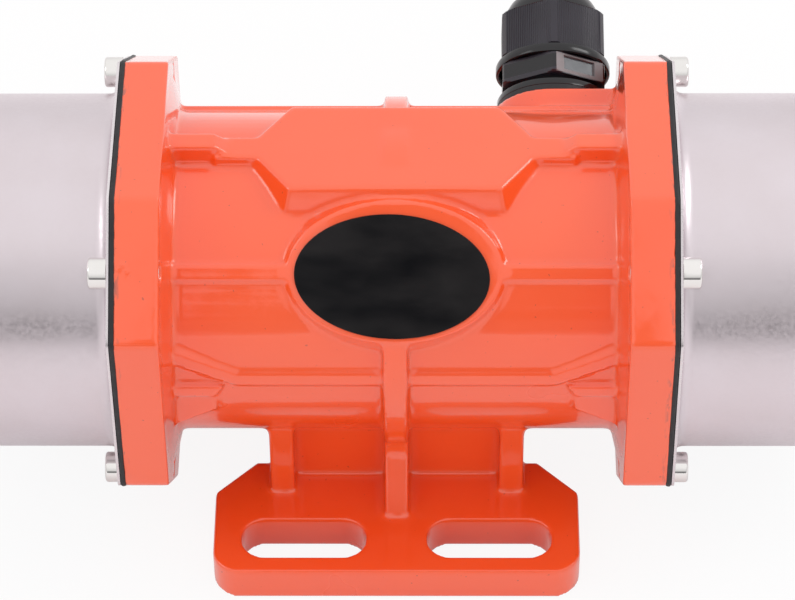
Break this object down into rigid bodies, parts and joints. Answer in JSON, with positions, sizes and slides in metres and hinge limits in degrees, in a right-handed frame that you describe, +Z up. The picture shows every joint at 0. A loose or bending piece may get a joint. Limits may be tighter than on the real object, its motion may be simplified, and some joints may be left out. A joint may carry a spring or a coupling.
{
  "type": "vibration motor",
  "caption": "Electric vibration motor: finned cast housing on slotted feet, deep steel cups over eccentric weights at both shaft ends, oval badge, cable gland.",
  "frame": {"origin": "centre of the four foot slots on the mounting face", "axes": "+X along the motor axis towards the cable gland's end, +Y to the rear where the gland points, +Z up from the mounting face"},
  "size_m": [0.2614, 0.1457, 0.1192],
  "materials": {
    "housing": "glossy orange-red enamel over a cast surface",
    "badge_plate": "smooth gloss black, left bare",
    "gasket": "matt",
    "cover": "satin stainless sheet",
    "cover_screws": "bright stainless",
    "shield_screws": "zinc-plated",
    "bearing_shield": "machined casting",
    "wave_spring": "spring steel",
    "bearing_ring": "ground bearing steel",
    "bearing_balls": "polished bearing steel",
    "bearing_cage": "pressed sheet steel",
    "bearing_seals": "matt",
    "stator_core": "varnished electrical steel",
    "stator_winding": "enamelled copper wire, varnished",
    "stator_leads": "insulated flexible wire",
    "gland_nylon": "moulded black nylon",
    "gland_rubber": "soft seal",
    "rotor_shaft": "ground steel",
    "rotor_core": "turned electrical steel",
    "rotor_cage": "die-cast",
    "spacer_sleeve": "turned steel",
    "weight_key": "bright-drawn key steel",
    "retaining_ring": "phosphated spring steel",
    "fixed_weight": "machined steel",
    "adjustable_weight": "machined steel",
    "weight_clamp_screw": "black oxide"
  },
  "bodies": {
    "housing": {"housing": "housing", "badge_plate": "badge_plate", "gasket_left": "gasket", "cover_left": "cover", "cover_screws_left": "cover_screws", "shield_screws_left": "shield_screws", "bearing_shield_left": "bearing_shield", "gasket_right": "gasket", "cover_right": "cover", "cover_screws_right": "cover_screws", "shield_screws_right": "shield_screws", "bearing_shield_right": "bearing_shield", "wave_spring": "wave_spring", "bearing_outer_ring_left": "bearing_ring", "bearing_seals_left": "bearing_seals", "bearing_outer_ring_right": "bearing_ring", "bearing_seals_right": "bearing_seals", "stator_core": "stator_core", "stator_winding": "stator_winding", "stator_leads": "stator_leads", "gland_body": "gland_nylon", "gland_washer": "gland_rubber", "gland_clamp": "gland_nylon", "gland_seal": "gland_rubber", "gland_nut": "gland_nylon"},
    "rotor": {"rotor_shaft": "rotor_shaft", "rotor_core": "rotor_core", "rotor_cage": "rotor_cage", "spacer_sleeve_left": "spacer_sleeve", "spacer_sleeve_right": "spacer_sleeve", "weight_key_left": "weight_key", "weight_key_right": "weight_key", "retaining_ring_left": "retaining_ring", "retaining_ring_right": "retaining_ring", "fixed_weight_left": "fixed_weight", "fixed_weight_right": "fixed_weight", "bearing_inner_ring_left": "bearing_ring", "bearing_inner_ring_right": "bearing_ring"},
    "weight_left": {"adjustable_weight_left": "adjustable_weight", "weight_clamp_screw_left": "weight_clamp_screw"},
    "ball_set_left": {"bearing_balls_left": "bearing_balls", "bearing_cage_left": "bearing_cage"},
    "weight_right": {"adjustable_weight_right": "adjustable_weight", "weight_clamp_screw_right": "weight_clamp_screw"},
    "ball_set_right": {"bearing_balls_right": "bearing_balls", "bearing_cage_right": "bearing_cage"}
  },
  "joints": [
    {"name": "rotor_spin", "type": "hinge", "parent": "housing", "child": "rotor", "pos_m": [0, 0, 0.0645], "axis": [1, 0, 0], "continuous": true},
    {"name": "ball_set_left_spin", "type": "hinge", "parent": "housing", "child": "ball_set_left", "pos_m": [0, 0, 0.0645], "axis": [1, 0, 0], "continuous": true},
    {"name": "ball_set_right_spin", "type": "hinge", "parent": "housing", "child": "ball_set_right", "pos_m": [0, 0, 0.0645], "axis": [1, 0, 0], "continuous": true},
    {"name": "weight_left_adjust", "type": "hinge", "parent": "rotor", "child": "weight_left", "pos_m": [0, 0, 0.0645], "axis": [1, 0, 0], "range_deg": [0, 180]},
    {"name": "weight_right_adjust", "type": "hinge", "parent": "rotor", "child": "weight_right", "pos_m": [0, 0, 0.0645], "axis": [1, 0, 0], "range_deg": [0, 180]}
  ],
  "couplings": [
    {"joint": "ball_set_left_spin", "follows": "rotor_spin", "ratio": 0.38158},
    {"joint": "ball_set_right_spin", "follows": "rotor_spin", "ratio": 0.38158}
  ]
}
